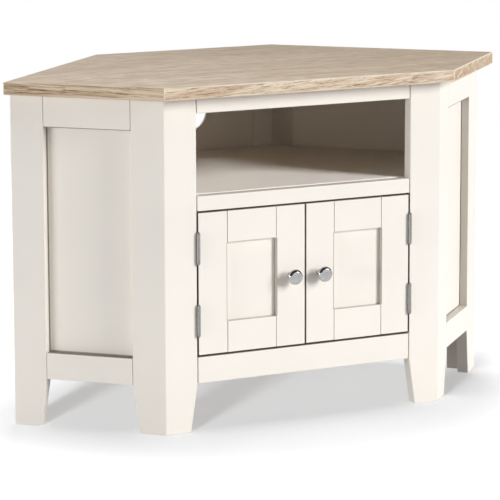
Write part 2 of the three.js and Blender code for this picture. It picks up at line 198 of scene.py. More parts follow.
class Shader:
    """A node tree with short calls for the nodes that the finishes share."""

    def __init__(self, tree: bpy.types.NodeTree) -> None:
        """Takes the node tree of a material or of the world, and clears it."""
        self.tree = tree
        tree.nodes.clear()

    def node(self, kind: str, inputs: Inputs | None = None, **settings: object) -> bpy.types.Node:
        """Adds a node, sets its own settings, and sets or links its inputs.

        Args:
            kind: Blender's name of the node's type, after the word ShaderNode.
            inputs: A value or another node's output socket for each input, by name or number.
            **settings: The node's own settings.

        Returns:
            The node.
        """
        made = self.tree.nodes.new(f"ShaderNode{kind}")
        for name, value in settings.items():
            setattr(made, name, value)
        for key, value in (inputs or {}).items():
            if isinstance(value, Socket):
                self.tree.links.new(value, made.inputs[key])
            elif isinstance(value, tuple) and made.inputs[key].type == "RGBA":
                made.inputs[key].default_value = (*value, 1.0)
            else:
                made.inputs[key].default_value = value
        return made

    def place(self) -> Socket:
        """Each point's place on its piece, in metres."""
        return self.node("TexCoord").outputs["Object"]

    def noise(self, where: Socket, marks: Marks, grain: Grain = Grain.ACROSS) -> Socket:
        """Adds a noise, from 0 to 1, with marks laid along a grain.

        Args:
            where: The coordinates, in metres.
            marks: The marks.
            grain: The direction of the grain.

        Returns:
            The noise.
        """
        laid = {"Vector": where, "Rotation": grain.turn, "Scale": marks.size}
        vector = self.node("Mapping", laid, vector_type="TEXTURE").outputs["Vector"]
        layers = {"Detail": marks.detail, "Roughness": marks.roughness, "Distortion": marks.distortion}
        return self.node("TexNoise", {"Vector": vector, "Scale": 1.0, **layers}).outputs[0]

    def spread(self, value: Socket, low: float, high: float, start: float = 0.0, end: float = 1.0) -> Socket:
        """Stretches the range from low to high to the one from start to end, and stops at its ends."""
        settings = {"Value": value, "From Min": low, "From Max": high, "To Min": start, "To Max": end}
        return self.node("MapRange", settings, interpolation_type="SMOOTHSTEP").outputs["Result"]

    def maths(self, operation: str, first: object, second: object) -> Socket:
        """Adds one sum, by Blender's name, of two numbers or sockets."""
        return self.node("Math", {0: first, 1: second}, operation=operation).outputs[0]

    def blend(self, factor: object, first: object, second: object, how: str = "MIX") -> Socket:
        """Mixes two colours in Blender's way of that name. The factor is the second colour's share."""
        return self.node("Mix", {0: factor, 6: first, 7: second}, data_type="RGBA", blend_type=how).outputs[2]

    def bump(self, height: Socket, depth: float, **under: Socket) -> Socket:
        """Raises the surface by a pattern of a full depth, over another bump's Normal where it is given."""
        settings = {"Height": height, "Distance": depth, "Strength": 1.0, **under}
        return self.node("Bump", settings).outputs["Normal"]

    def surface(self, **inputs: object) -> None:
        """Adds the principled shader and the output. Underscores in the inputs' names stand for spaces."""
        shader = self.node("BsdfPrincipled", {name.replace("_", " "): value for name, value in inputs.items()})
        self.node("OutputMaterial", {"Surface": shader.outputs["BSDF"]})


class Finish:
    """A finish of one of the record's slots. It makes its material once and then hands out the same one."""

    name: str
    slot: Slot

    def material(self) -> bpy.types.Material:
        """Gives the finish's material.

        Returns:
            The material.
        """
        made = bpy.data.materials.get(self.name)
        if made is None:
            made = bpy.data.materials.new(self.name)
            made.use_nodes = True
            self.paint(Shader(made.node_tree))
        return made

    def paint(self, shader: Shader) -> None:
        """Builds the finish's nodes in a material's empty node tree."""
        raise NotImplementedError


@dataclass(frozen=True)
class Paint(Finish):
    """Satin paint laid on along the grain: brush lines, a cast that drifts over a board, and a painted shade
    band if given.
    """

    name: str
    colour: Vector3
    grain: Grain
    slot: Slot = Slot.PAINT
    drift: float = 0.03
    clouds: Marks = Marks((0.16,) * 3, 2)
    brush: Marks = Marks((0.07, 0.0016, 0.0016), 4, roughness=0.6)
    brush_depth: float = 0.000035
    peel: Marks = Marks((0.0012,) * 3, 1)
    peel_depth: float = 0.000012
    cloud_range: Span = (0.3, 0.7)
    sheen: Ramp = (0.3, 0.7, 0.42, 0.52)
    # painted shade: an optional darker colour on a band of heights, with the band's middle and half height
    # below
    thin: Vector3 | None = None
    thin_middle: float = 0.238
    thin_half: float = 0.116

    def paint(self, shader: Shader) -> None:
        """Builds the brush lines, the drift of the cast, the uneven sheen and the painted shade beside a door.

        Args:
            shader: The material's empty node tree.
        """
        place = shader.place()
        lines = shader.noise(place, self.brush, self.grain)
        cloud = shader.spread(shader.noise(place, self.clouds), *self.cloud_range)
        colour = shader.blend(cloud, times(self.colour, 1 - self.drift), self.colour)
        # painted shade: the band of heights beside the doors takes the darker colour
        if self.thin is not None:
            height = shader.node("SeparateXYZ", {0: place}).outputs["Z"]
            away = shader.maths("ABSOLUTE", shader.maths("SUBTRACT", height, self.thin_middle), 0.0)
            colour = shader.blend(shader.maths("LESS_THAN", away, self.thin_half), colour, self.thin)
        brushed = shader.bump(lines, self.brush_depth)
        shader.surface(
            Base_Color=colour,
            Roughness=shader.spread(lines, *self.sheen),
            Normal=shader.bump(shader.noise(place, self.peel), self.peel_depth, Normal=brushed),
        )


@dataclass(frozen=True)
class LimedOak(Finish):
    """The top's face: pale oak with broad bands, darker streaks, mottled figure and short open pores."""

    name: str = "limed_oak_face"
    slot: Slot = Slot.OAK
    pale: Vector3 = shade(237, 220, 202)
    middle: Vector3 = shade(226, 207, 187)
    dark: Vector3 = shade(190, 167, 145)
    deeper: Vector3 = (0.77, 0.755, 0.71)
    drift_range: Span = (-0.5, 0.5)
    bands: Marks = Marks((0.34, 0.045, 0.045), 3, 0.8)
    streaks: Marks = Marks((0.13, 0.009, 0.009), 4, 0.9, 0.68)
    figure: Marks = Marks((0.036, 0.0055, 0.0055), 4, 0.4, 0.62)
    pores: Marks = Marks((0.018, 0.0011, 0.0011), 2)
    pale_bands: Span = (0.36, 0.64)
    dark_figure: Ramp = (0.4, 0.64, 0.0, 0.55)
    dark_streaks: Ramp = (0.5, 0.68, 0.0, 0.6)
    pale_streaks: Ramp = (0.28, 0.42, 0.5, 0.0)
    open_pores: Span = (0.62, 0.74)
    pore_share: float = 0.45
    pore_depth: float = 0.00012
    sheen: Ramp = (0.3, 0.7, 0.62, 0.74)
    gloss: float = 0.15
    cut: Vector3 = (0.8, 0.3, 0.0)

    def paint(self, shader: Shader) -> None:
        """Builds the bands, streaks, figure and pores along X, and a painted shade that darkens slowly along X.

        Args:
            shader: The material's empty node tree.
        """
        board = shader.place()
        along = shader.node("SeparateXYZ", {0: board}).outputs["X"]
        place = shader.node("VectorMath", {0: board, 1: self.cut}, operation="ADD").outputs["Vector"]
        patterns = (self.bands, self.streaks, self.figure, self.pores)
        bands, streaks, figure, pores = (shader.noise(place, marks) for marks in patterns)
        open_pore = shader.spread(pores, *self.open_pores)
        layers = (
            (shader.spread(figure, *self.dark_figure), self.dark),
            (shader.spread(streaks, *self.dark_streaks), self.dark),
            (shader.spread(streaks, *self.pale_streaks), self.pale),
            (shader.maths("MULTIPLY", open_pore, self.pore_share), self.dark),
        )
        colour = shader.blend(shader.spread(bands, *self.pale_bands), self.middle, self.pale)
        for share, tint in layers:
            colour = shader.blend(share, colour, tint)
        # painted shade: the colour darkens slowly towards +X, evening out the stronger light on the top's right
        # end
        tone = shader.blend(shader.spread(along, *self.drift_range), WHITE, self.deeper)
        shader.surface(
            Base_Color=shader.blend(1.0, colour, tone, "MULTIPLY"),
            Roughness=shader.spread(streaks, *self.sheen),
            Specular_IOR_Level=self.gloss,
            Normal=shader.bump(shader.maths("SUBTRACT", streaks, open_pore), self.pore_depth),
        )


@dataclass(frozen=True)
class OakEdge(Finish):
    """An edge of the top: grain that runs along the edge and climbs it slowly, with darker lines and flecks.

    A pale stripe may run along its foot, fading out between two heights, with a share of the cream.
    """

    name: str
    slot: Slot = Slot.OAK
    cream: Vector3 = shade(232, 214, 191)
    tan: Vector3 = shade(206, 179, 151)
    brown: Vector3 = shade(134, 101, 71)
    climb: float = 0.07
    bands: Marks = Marks((0.11, 0.006, 1.0), 2, 0.9)
    lines: Marks = Marks((0.034, 0.0021, 1.0), 4, 0.7, 0.7)
    flecks: Marks = Marks((0.008, 0.0014, 1.0), 2)
    pale_bands: Span = (0.36, 0.64)
    dark_lines: Ramp = (0.5, 0.64, 0.0, 0.9)
    fleck_range: Span = (0.56, 0.7)
    fleck_share: float = 0.5
    grain_depth: float = 0.00016
    roughness: float = 0.62
    gloss: float = 0.3
    foot_heights: Span = (0.538, 0.5405)
    foot_share: float = 0.0
    foot_waves: Ramp = (0.3, 0.7, -0.0015, 0.0015)

    def paint(self, shader: Shader) -> None:
        """Builds bands, lines and flecks from the edge's own map, whose U runs along it and V up it.

        Args:
            shader: The material's empty node tree.
        """
        place = shader.node("UVMap", uv_map=TopBoard.MAP).outputs["UV"]
        parts = shader.node("SeparateXYZ", {0: place}).outputs
        risen = shader.maths("SUBTRACT", parts["Y"], shader.maths("MULTIPLY", parts["X"], self.climb))
        slanted = shader.node("CombineXYZ", {0: parts["X"], 1: risen}).outputs["Vector"]
        patterns = (self.bands, self.lines, self.flecks)
        bands, lines, flecks = (shader.noise(slanted, marks) for marks in patterns)
        colour = shader.blend(shader.spread(bands, *self.pale_bands), self.tan, self.cream)
        colour = shader.blend(shader.spread(lines, *self.dark_lines), colour, self.brown)
        fleck = shader.spread(flecks, *self.fleck_range, 0.0, self.fleck_share)
        colour = shader.blend(fleck, colour, self.cream)
        if self.foot_share > 0:
            waved = shader.maths("SUBTRACT", parts["Y"], shader.spread(bands, *self.foot_waves))
            foot = shader.spread(waved, *self.foot_heights, self.foot_share, 0.0)
            colour = shader.blend(foot, colour, self.cream)
        shader.surface(
            Base_Color=colour,
            Roughness=self.roughness,
            Specular_IOR_Level=self.gloss,
            Normal=shader.bump(lines, self.grain_depth),
        )


@dataclass(frozen=True)
class Plain(Finish):
    """A finish whose colour, sheen and height vary a little over one pattern of fine marks."""

    name: str
    slot: Slot
    colour: Vector3
    other: Vector3
    marks: Marks
    depth: float
    roughness: Span
    metallic: float = 1.0
    gloss: float = 0.5
    other_range: Span = (0.35, 0.7)
    sheen_range: Span = (0.3, 0.7)

    def paint(self, shader: Shader) -> None:
        """Builds the marks, and lets them vary the colour, the sheen and the height.

        Args:
            shader: The material's empty node tree.
        """
        marks = shader.noise(shader.place(), self.marks)
        shader.surface(
            Base_Color=shader.blend(shader.spread(marks, *self.other_range), self.colour, self.other),
            Metallic=self.metallic,
            Roughness=shader.spread(marks, *self.sheen_range, *self.roughness),
            Specular_IOR_Level=self.gloss,
            Normal=shader.bump(marks, self.depth),
        )


def moulded(name: str, colour: Vector3, roughness: float) -> Plain:
    """Moulded plastic or pressed ferrite, with a fine even texture that is a little darker in its hollows."""
    darker, even = times(colour, HOLLOW_SHADE), (roughness, roughness)
    return Plain(name, Slot.PLASTIC, darker, colour, roughness=even, **MOULD)


class Coat(Enum):
    """The ivory paint, then darker copies of it as painted shade, from the lightest to the deepest, which faces
    a gap.
    """

    IVORY_PAINT = shade(245, 238, 228)
    # Every coat after the first is painted shade: darker ivory for ledges, reveals, lines and gaps where shade
    # falls.
    LEDGE_IVORY = shade(222, 215, 206)
    REVEAL_IVORY = shade(206, 199, 190)
    THIN_IVORY = shade(160, 152, 141)
    GAP_IVORY = shade(142, 134, 122)

    def along(self, grain: Grain) -> Paint:
        """The coat with its brush lines along a grain."""
        return Paint(f"{self.name}_{grain.name}".lower(), self.value, grain)


HOLLOW_SHADE = 0.92
MOULD = {"marks": Marks((0.0006,) * 3, 1), "depth": 0.00002, "metallic": 0.0, "other_range": (0.3, 0.7)}

# painted shade: the legs' faces beside the doors are darker over the doors' heights, where the gap lies in
# shade
JAMB_SHADE_PAINT = Paint("jamb_ivory", Coat.IVORY_PAINT.value, Grain.UPRIGHT, thin=shade(118, 110, 99))
# painted highlight: the arrises are paler oak, standing for the light that their small radius catches
OAK_ARRIS_HIGHLIGHT = Plain(
    "limed_oak_arris",
    Slot.OAK,
    shade(237, 224, 205),
    shade(211, 191, 165),
    Marks((0.03, 0.003, 0.003)),
    depth=0.0001,
    roughness=(0.6, 0.6),
    metallic=0.0,
    gloss=0.3,
    other_range=(0.45, 0.68),
)
FRONT_OAK = OakEdge("limed_oak_front")
LEFT_OAK = OakEdge(
    "limed_oak_left",
    cream=shade(231, 209, 181),
    tan=shade(191, 163, 130),
    brown=shade(106, 77, 49),
    climb=-0.03,
    bands=Marks((0.16, 0.005, 1.0), 2, 0.9),
    lines=Marks((0.05, 0.002, 1.0), 4, 0.7, 0.7),
    fleck_share=0.2,
    foot_share=0.85,
)
RIGHT_OAK = OakEdge(
    "limed_oak_right",
    cream=shade(220, 201, 177),
    tan=shade(190, 160, 130),
    brown=shade(130, 95, 66),
    climb=0.35,
    bands=Marks((0.03, 0.006, 1.0), 2, 0.9),
    lines=Marks((0.009, 0.0022, 1.0), 4, 0.7, 0.7),
    flecks=Marks((0.004, 0.0018, 1.0), 2),
    fleck_share=0.85,
)
WALL_OAK = OakEdge("limed_oak_wall", tan=shade(196, 172, 142), climb=0.02)
CHROME = Plain(
    "polished_chrome",
    Slot.CHROME,
    (0.54, 0.538, 0.535),
    (0.48, 0.478, 0.475),
    Marks((0.004,) * 3),
    depth=0.0,
    roughness=(0.05, 0.12),
)
BRUSHED_STEEL = Plain(
    "brushed_steel",
    Slot.HINGE_STEEL,
    (0.34, 0.334, 0.328),
    (0.24, 0.236, 0.23),
    Marks((0.0008, 0.0008, 0.006)),
    depth=0.00002,
    roughness=(0.32, 0.46),
)
ZINC = Plain(
    "zinc_plate",
    Slot.ZINC,
    (0.62, 0.62, 0.6),
    (0.5, 0.5, 0.5),
    Marks((0.0015,) * 3),
    depth=0.00001,
    roughness=(0.2, 0.36),
)
PLASTIC = moulded("moulded_plastic", shade(236, 230, 220), 0.45)
FERRITE = moulded("catch_ferrite", shade(58, 56, 55), 0.6)


def facing(way: Way) -> Choice:
    """Gives what picks, by their normals, the faces within some 18 degrees of a direction."""
    return lambda middles, normals: (normals @ way.value > SQUARE_ON).astype(int)


def beyond(planes: Sequence[Plane]) -> Choice:
    """Gives what picks the faces whose middle lies in front of any of some planes."""
    return lambda middles, normals: np.any([(middles - point) @ way > 0 for point, way in planes], axis=0) * 1


def read(items: bpy.types.bpy_prop_collection, name: str) -> Array:
    """Reads a vector from each of a mesh's points or faces.

    Args:
        items: The points or faces.
        name: Blender's name of the vector.

    Returns:
        The vectors, one to a row.
    """
    values = np.empty(len(items) * 3)
    items.foreach_get(name, values)
    return values.reshape(-1, 3)


@contextmanager
def editing(mesh: Mesh) -> Iterator[bmesh.types.BMesh]:
    """Opens a mesh for editing, and writes it back at the end.

    Args:
        mesh: The mesh.

    Yields:
        Its editable shape.
    """
    shape = bmesh.new()
    shape.from_mesh(mesh)
    yield shape
    shape.to_mesh(mesh)
    shape.free()


def grid_faces(rows: int, columns: int) -> Array:
    """Joins a grid of points, closed round its columns, into quads.

    Point (i, j) has number i * columns + j, and a quad runs from (i, j) to (i, j + 1) and up to row i + 1.

    Args:
        rows: The number of rings.
        columns: The number of points on each ring.

    Returns:
        The quads, as an array with four point numbers in each row.
    """
    row, column = np.meshgrid(np.arange(rows - 1), np.arange(columns), indexing="ij")
    here, after = row * columns + column, row * columns + (column + 1) % columns
    return np.stack([corner.ravel() for corner in (here, after, after + columns, here + columns)], axis=1)


def new_piece(name: str, points: Array, faces: Sequence[Sequence[int]]) -> Object:
    """Puts points and faces into a new object at the origin.

    Args:
        name: The piece's name.
        points: One point to a row.
        faces: The point numbers of each face.

    Returns:
        The object, linked to the scene.
    """
    mesh = bpy.data.meshes.new(name)
    mesh.from_pydata(points.tolist(), [], faces)
    piece = bpy.data.objects.new(name, mesh)
    bpy.context.scene.collection.objects.link(piece)
    return piece


def closed(piece: Object, crisp: float) -> Object:
    """Merges a piece's doubled points, drops faces without area, turns every face outwards and smooths them.

    Args:
        piece: The piece.
        crisp: The angle in degrees from which an edge stays sharp.

    Returns:
        The same piece.
    """
    mesh = piece.data
    with editing(mesh) as shape:
        bmesh.ops.remove_doubles(shape, verts=shape.verts, dist=MERGE_DISTANCE)
        bmesh.ops.dissolve_degenerate(shape, edges=shape.edges, dist=MERGE_DISTANCE)
        bmesh.ops.recalc_face_normals(shape, faces=shape.faces)
    mesh.shade_smooth()
    mesh.set_sharp_from_angle(angle=math.radians(crisp))
    return piece


def smooth_line(points: Array, steps: int) -> Array:
    """Rounds a line through its points.

    Between two points the line is the cubic that passes both, with its slope at each equal to half the step
    from the point before to the point after.

    Args:
        points: One point to a row.
        steps: The number of new points in each stretch.

    Returns:
        The points of the rounded line, with both ends.
    """
    padded = np.vstack([2 * points[0] - points[1], points, 2 * points[-1] - points[-2]])
    a, b, c, d = (part[:, None, :] for part in (padded[:-3], padded[1:-2], padded[2:-1], padded[3:]))
    t = (np.arange(steps) / steps)[None, :, None]
    line = 0.5 * (2 * b + (c - a) * t + (2 * a - 5 * b + 4 * c - d) * t**2 + (3 * b - a - 3 * c + d) * t**3)
    return np.vstack([line.reshape(-1, points.shape[1]), points[-1]])


@dataclass(frozen=True)
class Turning:
    """A surface turned round a line: a point at radius r, reach h and turn t lies at
    foot + h * axis + r * (cos t * side + sin t * other side)."""

    foot: Vector3
    axis: Vector3
    segments: int

    def surface(self, profile: Array, lift: Choice | None = None) -> Surface:
        """Works out the surface.

        Args:
            profile: Radius and reach of each ring, from one pole to the other.
            lift: What is added to the reach at each radius and turn, such as a recess.

        Returns:
            The points and the quads.
        """
        axis = np.array(self.axis, float)
        side = np.cross(axis, Way.RIGHT.value if axis[2] else Way.UP.value)
        other = np.cross(axis, side)
        turn = np.arange(self.segments) * 2 * math.pi / self.segments
        radius, turns = np.meshgrid(profile[:, 0], turn, indexing="ij")
        reach = np.repeat(profile[:, 1:2], self.segments, axis=1)
        if lift is not None:
            reach = reach + lift(radius, turns)
        round_part = np.cos(turns)[..., None] * side + np.sin(turns)[..., None] * other
        points = np.array(self.foot) + reach[..., None] * axis + radius[..., None] * round_part
        return points.reshape(-1, 3), grid_faces(len(profile), self.segments)


@dataclass(frozen=True)
class Slab:
    """A flat body with a convex outline, rounded corners and eased rims.

    Each corner of the outline is an arc of radius R round a centre that lies R inside both edges. A ring that
    is inset by d runs on the same centres with radius R - d, and the rim's section is a quarter circle of the
    ease: inset ease * (1 - cos t), height ease * sin t.
    """

    corners: tuple[Span, ...]
    low: float
    high: float
    corner_radius: float
    ease: float
    corner_steps: int = 4
    ease_steps: int = 3

    @staticmethod
    def oblong(size: Span, heights: Span, corner_radius: float, ease: float) -> Slab:
        """A slab with an oblong outline round the origin."""
        x, y = size[0] / 2, size[1] / 2
        return Slab(((-x, -y), (x, -y), (x, y), (-x, y)), *heights, corner_radius, ease)

    def rings(self) -> Array:
        """Works out the rings from the lower face's rim to the upper face's.

        Returns:
            The points, as rings, columns and axes.
        """
        corners = np.array(self.corners, float)
        along = np.roll(corners, -1, axis=0) - corners
        along /= np.linalg.norm(along, axis=1, keepdims=True)
        outward = np.stack([along[:, 1], -along[:, 0]], axis=1)
        before = np.roll(outward, 1, axis=0)
        inward = (before + outward) / (1 + (before * outward).sum(axis=1))[:, None]
        centre = np.repeat(corners - inward * self.corner_radius, self.corner_steps + 1, axis=0)
        start = np.arctan2(before[:, 1], before[:, 0])
        sweep = (np.arctan2(outward[:, 1], outward[:, 0]) - start) % (2 * math.pi)
        turn = start[:, None] + sweep[:, None] * np.linspace(0, 1, self.corner_steps + 1)[None, :]
        away = np.stack([np.cos(turn), np.sin(turn)], axis=-1).reshape(-1, 2)
        t = np.linspace(0, math.pi / 2, self.ease_steps + 1)
        inset, rise = self.ease * (1 - np.cos(t)), self.ease * np.sin(t)
        insets = np.concatenate([inset[::-1], inset])
        heights = np.concatenate([self.low + self.ease - rise[::-1], self.high - self.ease + rise])
        flat = centre[None] + (self.corner_radius - insets)[:, None, None] * away[None]
        levels = np.repeat(heights[:, None], flat.shape[1], axis=1)
        return np.concatenate([flat, levels[..., None]], axis=-1)

    def piece(self, name: str) -> Object:
        """Makes the slab with its two faces.

        Args:
            name: The piece's name.

        Returns:
            The piece: first the quads of its rims and edges, then its lower and its upper face.
        """
        rings = self.rings()
        rows, columns = rings.shape[:2]
        low_face, high_face = range(columns)[::-1], range((rows - 1) * columns, rows * columns)
        faces = [*grid_faces(rows, columns).tolist(), list(low_face), list(high_face)]
        return new_piece(name, rings.reshape(-1, 3), faces)

    def upright_piece(self, name: str, middle: Vector3) -> Object:
        """Makes the slab so that it faces the front: a point (x, y, z) goes to middle + (x, -z, y).

        Args:
            name: The piece's name.
            middle: Where the slab's origin goes.

        Returns:
            The piece.
        """
        piece = self.piece(name)
        x, y, z = read(piece.data.vertices, "co").T
        piece.data.vertices.foreach_set("co", (np.array(middle) + np.stack([x, -z, y], axis=1)).ravel())
        return closed(piece, ROUND_CRISP)


@dataclass(frozen=True)
class Ease:
    """How a board's edges are eased, and how much of each end and of its top is taken off, so that joints show.

    The eased strips take the material beside them, unless a material's number is given. Folds between the two
    crease angles, such as a leg's taper, stay crisp.
    """

    width: float
    segments: int = 3
    end_trim: float = 0.0
    top_trim: float = 0.0
    material: int = -1
    bevel_angle: float = 30.0
    crease_angles: Span = (2.0, 12.0)


@dataclass
class Workshop:
    """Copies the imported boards, eases them, and puts every finished piece on its body."""

    nodes: dict[str, Object]

    def place(self, piece: Object, body: Body, finish: Finish, *replaced: str) -> None:
        """Gives a piece its material and body, and hides the nodes that it stands for.

        Args:
            piece: The piece.
            body: The body that it moves with.
            finish: Its finish, which gives its material unless it has some already.
            *replaced: The nodes that it stands for.
        """
        if not piece.data.materials:
            piece.data.materials.append(finish.material())
        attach(piece, body.value)
        if replaced:
            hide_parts(*replaced)
        log.info("%s rides on %s with %d faces", piece.name, body.value, len(piece.data.polygons))

    def join(
        self, name: str, body: Body, finish: Finish, parts: Sequence[Surface], *replaced: str, crisp: float
    ) -> None:
        """Joins closed surfaces, such as a hinge's screws, into one piece and places it.

        Args:
            name: The piece's name.
            body: The body that it moves with.
            finish: Its finish.
            parts: Each surface's points and faces.
            *replaced: The nodes that it stands for.
            crisp: The angle in degrees from which an edge stays sharp.
        """
        starts = np.cumsum([0, *(len(points) for points, _ in parts)])
        faces = [row for start, (_, quads) in zip(starts, parts) for row in (quads + start).tolist()]
        piece = new_piece(name, np.concatenate([points for points, _ in parts]), faces)
        self.place(closed(piece, crisp), body, finish, *replaced)

    def merged_copy(self, node: str) -> Object:
        """Copies a node, merges its doubled points and takes out the edges inside its flat faces.

        Args:
            node: The node's name.

        Returns:
            The copy.
        """
        source = self.nodes[node].data
        corners = np.empty(len(source.loops), int)
        source.loops.foreach_get("vertex_index", corners)
        copy = new_piece(f"{node}_eased", read(source.vertices, "co"), corners.reshape(-1, 3).tolist())
        with editing(copy.data) as shape:
            bmesh.ops.remove_doubles(shape, verts=shape.verts, dist=MERGE_DISTANCE)
            bmesh.ops.dissolve_limit(shape, angle_limit=FLAT_ANGLE, verts=shape.verts, edges=shape.edges)
        return copy

    def eased(
        self,
        node: str,
        body: Body,
        finishes: Sequence[Finish],
        ease: Ease,
        choose: Choice | None = None,
        grain: Grain = Grain.ACROSS,
        cuts: Sequence[Plane] = (),
    ) -> None:
        """Makes an eased copy of a node that stands for it.

        Args:
            node: The node's name.
            body: The body that it moves with.
            finishes: Its finishes.
            ease: How its edges are eased.
            choose: Gives each face's finish by number from the faces' middles and normals.
            grain: The direction in which its ends are trimmed.
            cuts: Planes that part its flat faces, so that the parts can have different finishes.
        """
        piece = self.merged_copy(node)
        mesh = piece.data
        with editing(mesh) as shape:
            for point, way in cuts:
                parts = [*shape.verts, *shape.edges, *shape.faces]
                bmesh.ops.bisect_plane(shape, geom=parts, dist=MERGE_DISTANCE, plane_co=point, plane_no=way)
        self.trim(mesh, grain, ease)
        for finish in finishes:
            mesh.materials.append(finish.material())
        if choose is not None:
            chosen = choose(read(mesh.polygons, "center"), read(mesh.polygons, "normal"))
            mesh.polygons.foreach_set("material_index", chosen.astype(np.int32))
        self.crease(mesh, ease.crease_angles)
        bevel = piece.modifiers.new("eased_edges", "BEVEL")
        bevel.width = ease.width
        bevel.segments = ease.segments
        bevel.limit_method = "ANGLE"
        bevel.angle_limit = math.radians(ease.bevel_angle)
        bevel.harden_normals = True
        bevel.material = ease.material
        self.place(piece, body, finishes[0], node)

    @staticmethod
    def trim(mesh: Mesh, grain: Grain, ease: Ease) -> None:
        """Moves a board's ends towards its middle along the grain, and its top face down.

        Args:
            mesh: The board.
            grain: The direction of its length.
            ease: How far the ends and the top move.
        """
        along = np.array(grain.turn.to_matrix().col[0])
        points = read(mesh.vertices, "co")
        reach = points @ along
        middle = (reach.min() + reach.max()) / 2
        points = points - np.sign(reach - middle)[:, None] * ease.end_trim * along
        height = points[:, 2]
        points[:, 2] = height - ease.top_trim * (height > height.max() - SAME_PLANE)
        mesh.vertices.foreach_set("co", points.ravel())
        mesh.update()

    @staticmethod
    def crease(mesh: Mesh, angles: Span) -> None:
        """Shades a board smooth, and keeps its slight folds crisp.

        Args:
            mesh: The board.
            angles: The least and the greatest angle, in degrees, of a fold that stays crisp.
        """
        low, high = (math.radians(angle) for angle in angles)
        with editing(mesh) as shape:
            for face in shape.faces:
                face.smooth = True
            for edge in shape.edges:
                edge.smooth = not (len(edge.link_faces) == 2 and low < edge.calc_face_angle() < high)

    def line(self, node: str, end: Way, inset: float, ahead: Way | None = None) -> Plane:
        """Finds a plane across a board, an inset before one of its ends, and which way it faces."""
        reach = float((read(self.nodes[node].data.vertices, "co") @ end.value).max()) - inset
        return times(end.value, reach), (ahead or end).value


@dataclass
class Assembly:
    """A part of the cabinet, with the workshop that makes its pieces."""

    shop: Workshop


@dataclass
class Carcass(Assembly):
    """The painted frame: six legs, rails, panels, shelf, base and bearers.

    Faces that look into a gap or a recess are painted darker as painted shade, and so are narrow lines beside
    some of them.
    """

    leg_ease: Ease = Ease(0.0012)
    rail_ease: Ease = Ease(0.0008, end_trim=0.0003)
    front_ease: Ease = Ease(0.0013, end_trim=0.0013)
    shelf_rail_ease: Ease = Ease(0.0009, end_trim=0.0013, top_trim=0.0012)
    panel_ease: Ease = Ease(0.0004, segments=2)
    shelf_ease: Ease = Ease(0.0013)
    shelf_front_ease: Ease = Ease(0.0013, material=1)
    lip_line: float = 0.0014
    foot_line: float = 0.0018
    side_line: float = 0.0016

    def build(self) -> None:
        """Dresses every board of the frame."""
        upright, across = Grain.UPRIGHT, Grain.ACROSS
        # painted shade: faces in gaps and recesses, and narrow lines beside them, take darker coats of the
        # ivory
        reveal_shade = Coat.REVEAL_IVORY.along(upright)
        legs = {
            "front_left": (JAMB_SHADE_PAINT, facing(Way.RIGHT)),
            "front_right": (JAMB_SHADE_PAINT, facing(Way.LEFT)),
            "right_side": (reveal_shade, facing(Way.FRONT_LEFT)),
            "right_back": (reveal_shade, facing(Way.FRONT_LEFT)),
            "left_back": (reveal_shade, facing(Way.FRONT_RIGHT)),
            "left_side": (),
        }
        for corner, other in legs.items():
            self.board(f"{corner}_leg", upright, self.leg_ease, *other)
        self.board("front_top_rail", across, self.front_ease)
        self.board("front_middle_rail", across, self.shelf_rail_ease)
        # painted shade: the bottom rail's top, under the doors, is darker
        gap = Coat.GAP_IVORY.along(across)
        self.board("front_bottom_rail", across, self.front_ease, gap, facing(Way.UP))
        # painted shade: darker ivory on each bottom rail's ledge, and on lines under the top rail and along the
        # panel's foot and far end
        runs = {
            "back": (across, Coat.LEDGE_IVORY, None),
            "left_side": (Grain.BACK_TO_LEFT, Coat.GAP_IVORY, Way.BACK_LEFT),
            "right_side": (Grain.BACK_TO_RIGHT, Coat.LEDGE_IVORY, Way.BACK_RIGHT),
            "left_wall": (Grain.BACK_TO_RIGHT, Coat.LEDGE_IVORY, None),
            "right_wall": (Grain.BACK_TO_LEFT, Coat.LEDGE_IVORY, None),
        }
        for side, (grain, ledge, far_end) in runs.items():
            top, bottom = f"{side}_top_rail", f"{side}_bottom_rail"
            lip = self.shop.line(top, Way.DOWN, self.lip_line)
            self.board(top, grain, self.rail_ease, Coat.THIN_IVORY.along(grain), beyond([lip]), [lip])
            self.board(bottom, grain, self.rail_ease, ledge.along(grain), facing(Way.UP))
            lines = [self.shop.line(bottom, Way.UP, -self.foot_line, Way.DOWN)]
            if far_end is not None:
                lines.append(self.shop.line(bottom, far_end, self.side_line))
            thin = Coat.THIN_IVORY.along(upright)
            self.board(f"{side}_panel", upright, self.panel_ease, thin, beyond(lines), lines)
        for hand in Hand:
            for level in ("shelf", "base"):
                self.board(f"{hand.word}_{level}_bearer", runs[f"{hand.word}_wall"][0], self.shelf_ease)
        # painted shade: the shelf's front face and eased front edge are darker, where it meets the rail
        front_edge = Coat.REVEAL_IVORY.along(across)
        self.board("shelf", across, self.shelf_front_ease, front_edge, facing(Way.FORWARD))
        self.board("base_panel", across, self.shelf_ease)

    def board(
        self,
        node: str,
        grain: Grain,
        ease: Ease,
        other: Paint | None = None,
        choose: Choice | None = None,
        cuts: Sequence[Plane] = (),
    ) -> None:
        """Dresses a board, with another paint on the faces that are chosen for it."""
        paints = [Coat.IVORY_PAINT.along(grain), *([other] if other else [])]
        self.shop.eased(node, Body.CARCASS, paints, ease, choose, grain, cuts)


